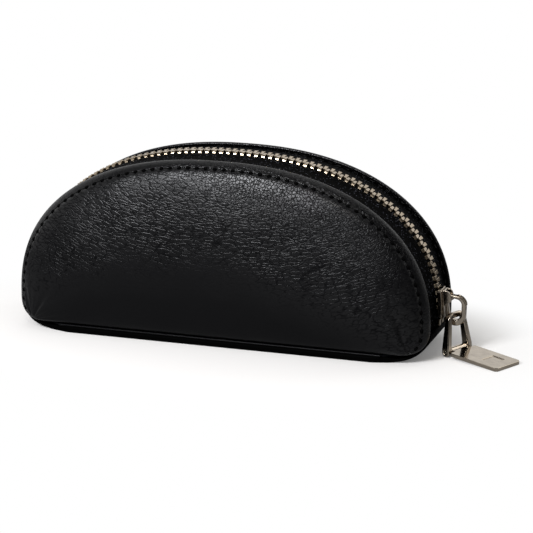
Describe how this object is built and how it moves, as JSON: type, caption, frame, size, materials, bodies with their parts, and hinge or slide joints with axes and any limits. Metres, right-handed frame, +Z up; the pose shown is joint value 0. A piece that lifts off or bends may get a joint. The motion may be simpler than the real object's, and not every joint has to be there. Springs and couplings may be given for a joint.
{
  "type": "fountain pen case",
  "caption": "Half-moon leather pen case: two padded sides on a leather base, closed by a metal zip over the arch with a linked puller.",
  "frame": {"origin": "middle of the base's underside", "axes": "+X along the case towards the closed zip's slider, +Y to the rear side, +Z up"},
  "size_m": [0.1931, 0.0512, 0.071],
  "materials": {
    "black_leather": "matt black grained leather",
    "lining": "dark grey microfibre lining",
    "foam": "grey padding foam",
    "board": "stiffening board",
    "zip_tape": "black knitted zip tape",
    "nickel": "polished pale nickel"
  },
  "bodies": {
    "base": {"base_panel": "black_leather", "base_board": "board", "base_lining": "lining", "front_piping": "black_leather", "rear_piping": "black_leather", "bottom_stop": "nickel"},
    "front_side": {"front_panel": "black_leather", "front_padding": "foam", "front_lining": "lining", "front_binding": "black_leather", "front_zip_tape": "zip_tape", "front_teeth": "nickel", "front_top_stop": "nickel"},
    "rear_side": {"rear_panel": "black_leather", "rear_padding": "foam", "rear_lining": "lining", "rear_binding": "black_leather", "rear_zip_tape": "zip_tape", "rear_teeth": "nickel", "rear_top_stop": "nickel"},
    "slider": {"slider_body": "nickel", "slider_bail": "nickel"},
    "ring": {"pull_ring": "nickel"},
    "shackle": {"pull_shackle": "nickel", "shackle_pin": "nickel"},
    "plate": {"pull_plate": "nickel"}
  },
  "joints": [
    {"name": "front_open", "type": "hinge", "parent": "base", "child": "front_side", "pos_m": [0, -0.0211, 0.0033], "axis": [1, 0, 0], "range_deg": [0, 22], "deforming": ["front_zip_tape", "front_teeth"]},
    {"name": "rear_open", "type": "hinge", "parent": "base", "child": "rear_side", "pos_m": [0, 0.0211, 0.0033], "axis": [1, 0, 0], "range_deg": [-22, 0], "deforming": ["rear_zip_tape", "rear_teeth"]},
    {"name": "zip_travel", "type": "hinge", "parent": "base", "child": "slider", "pos_m": [0, 0, 0.01889], "axis": [0, -1, 0], "range_deg": [0, 180]},
    {"name": "ring_swing", "type": "hinge", "parent": "slider", "child": "ring", "pos_m": [0.08404, 0, 0.02076], "axis": [0, -1, 0], "range_deg": [-2, 75]},
    {"name": "shackle_swing", "type": "hinge", "parent": "ring", "child": "shackle", "pos_m": [0.0862, -0.00017, 0.01515], "axis": [0.4509, 0.8926, 0], "range_deg": [-60, 15]},
    {"name": "plate_swing", "type": "hinge", "parent": "shackle", "child": "plate", "pos_m": [0.08724, -0.0007, 0.00185], "axis": [0.4509, 0.8926, 0], "range_deg": [-20, 120]}
  ],
  "couplings": [
    {"joint": "rear_open", "follows": "front_open", "ratio": -1},
    {"joint": "zip_travel", "follows": "front_open", "ratio": 8.1818}
  ]
}
